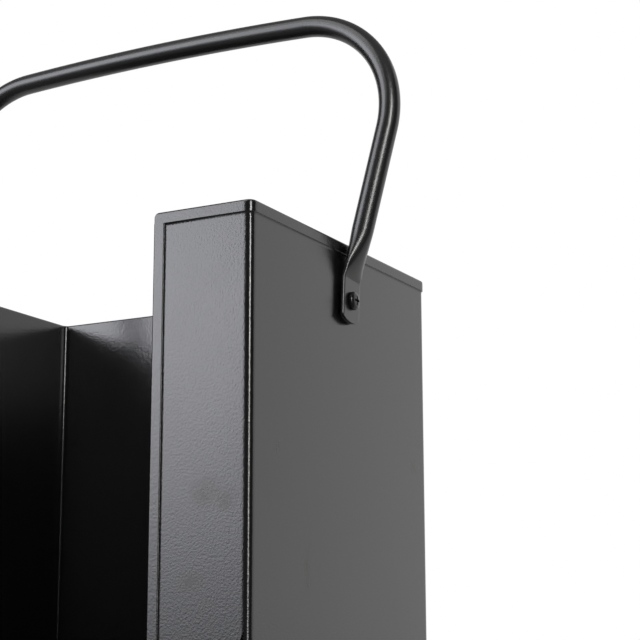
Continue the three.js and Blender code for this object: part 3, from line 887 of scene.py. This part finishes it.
def soft_panel(name, azimuth, elevation, width, height, level):
    """A soft light that faces the box, its width and height given as angles seen from there."""
    data = bpy.data.lights.new(name, "AREA")
    data.shape = "RECTANGLE"
    data.size = 2 * key_distance * math.tan(math.radians(width / 2))
    data.size_y = 2 * key_distance * math.tan(math.radians(height / 2))
    data.energy = 4 * level * data.size * data.size_y
    light = bpy.data.objects.new(name, data)
    bpy.context.scene.collection.objects.link(light)
    light.location = around(azimuth, elevation, key_distance)
    aim = around(0, 0, 0) - light.location
    light.rotation_euler = aim.to_track_quat("-Z", "Y").to_euler()


soft_panel("key", -110, 50, 30, 30, 2.0)


def studio_card(name, outline, low, high, material):
    """An upright or lying card that only mirror-like reflections show."""
    card = new_mesh(name, prism(outline, low, high, 2))
    card.data.materials.append(material)
    card.visible_camera = False
    card.visible_diffuse = False
    card.visible_shadow = False


def curved_wall(radius, start, end):
    """The plan of a thin wall that follows a circle round the box between two azimuths."""
    inner = arc(stage_centre, radius, start, end, 32)
    return np.concatenate([inner, inner[::-1] * (1 + card_thickness_share)])


def glowing_cloth(name, heights, levels, tint):
    """A lit diffusion cloth whose glow runs through the given levels at the given heights."""
    paint = Paint(name)
    height = paint.node("ShaderNodeSeparateXYZ", Vector=paint.place).outputs["Z"]
    glow = levels[0]
    for low, high, before, after in zip(heights[:-1], heights[1:], levels[:-1], levels[1:]):
        glow = paint.math("ADD", paint.spread(height, low, high, 0, after - before), glow)
    lit = dict(Emission_Color=(*tint, 1), Emission_Strength=glow)
    return paint.finish(Base_Color=grey(0), Roughness=1, **lit)


def dim_cloth(name, level):
    """A dark cloth with a faint even glow."""
    lit = dict(Emission_Color=grey(1), Emission_Strength=level)
    return Paint(name).finish(Base_Color=grey(0), Roughness=1, **lit)


card_foot = 0.02
cloth_radius = 2.6
left_heights, left_levels = (0.05, 0.85, 1.15, 2.0, 2.5), (0.8, 6.8, 5.4, 4.6, 0.0)
left_cloth = glowing_cloth("left cloth", left_heights, left_levels, (0.97, 0.98, 1.05))
front_heights, front_levels = (0.1, 1.0, 1.6, 2.2), (4.0, 17.0, 14.0, 0.0)
front_cloth = glowing_cloth("front cloth", front_heights, front_levels, (1.0, 1.0, 0.98))
studio_card("left_sheen", curved_wall(cloth_radius, -150, -112), card_foot, 2.6, left_cloth)
studio_card("front_sheen", curved_wall(cloth_radius, -46, -32), card_foot, 2.3, front_cloth)

flag_radius = 3.0
ceiling_height = 3.2
flag_wall = curved_wall(flag_radius, -200, 30)
black_flag = dim_cloth("black flag", 0.03)
studio_card("upright_flag", flag_wall, card_foot, ceiling_height, black_flag)
ceiling_radius = 3.2
ceiling_outline = arc(stage_centre, ceiling_radius, 0, 360, 64)[:-1]
dim_ceiling = dim_cloth("dim ceiling", 0.3)
studio_card("ceiling", ceiling_outline, ceiling_height, ceiling_height + 0.02, dim_ceiling)

ground_radius = 4.0
ground_hole_share = 0.045
ground_low, ground_high = 0.004, 0.006
ground_arc = arc(stage_centre, ground_radius, -175, 20, 48)
ground_outline = np.concatenate([ground_arc, ground_arc[::-1] * ground_hole_share])
dark_ground = dim_cloth("dark ground", 0.12)
studio_card("ground_flag", ground_outline, ground_low, ground_high, dark_ground)

photo_width = 640
focal_pixels = 1708.475
camera_data = bpy.data.cameras.new("camera")
camera_data.sensor_width = 36
camera_data.lens = focal_pixels / photo_width * camera_data.sensor_width
camera = bpy.data.objects.new("camera", camera_data)
bpy.context.scene.collection.objects.link(camera)
bpy.context.scene.camera = camera
camera_azimuth = math.radians(28.147)
camera_tilt = math.radians(12.310)
camera_roll = math.radians(-0.126)
camera.location = (539.601 * mm, -795.070 * mm, 102.935 * mm)
forward = Vector((
    -math.sin(camera_azimuth) * math.cos(camera_tilt),
    math.cos(camera_azimuth) * math.cos(camera_tilt),
    math.sin(camera_tilt),
))
camera.rotation_mode = "QUATERNION"
camera.rotation_quaternion = forward.to_track_quat("-Z", "Y") @ Quaternion((0, 0, 1), camera_roll)

bpy.context.scene.view_settings.view_transform = "Standard"
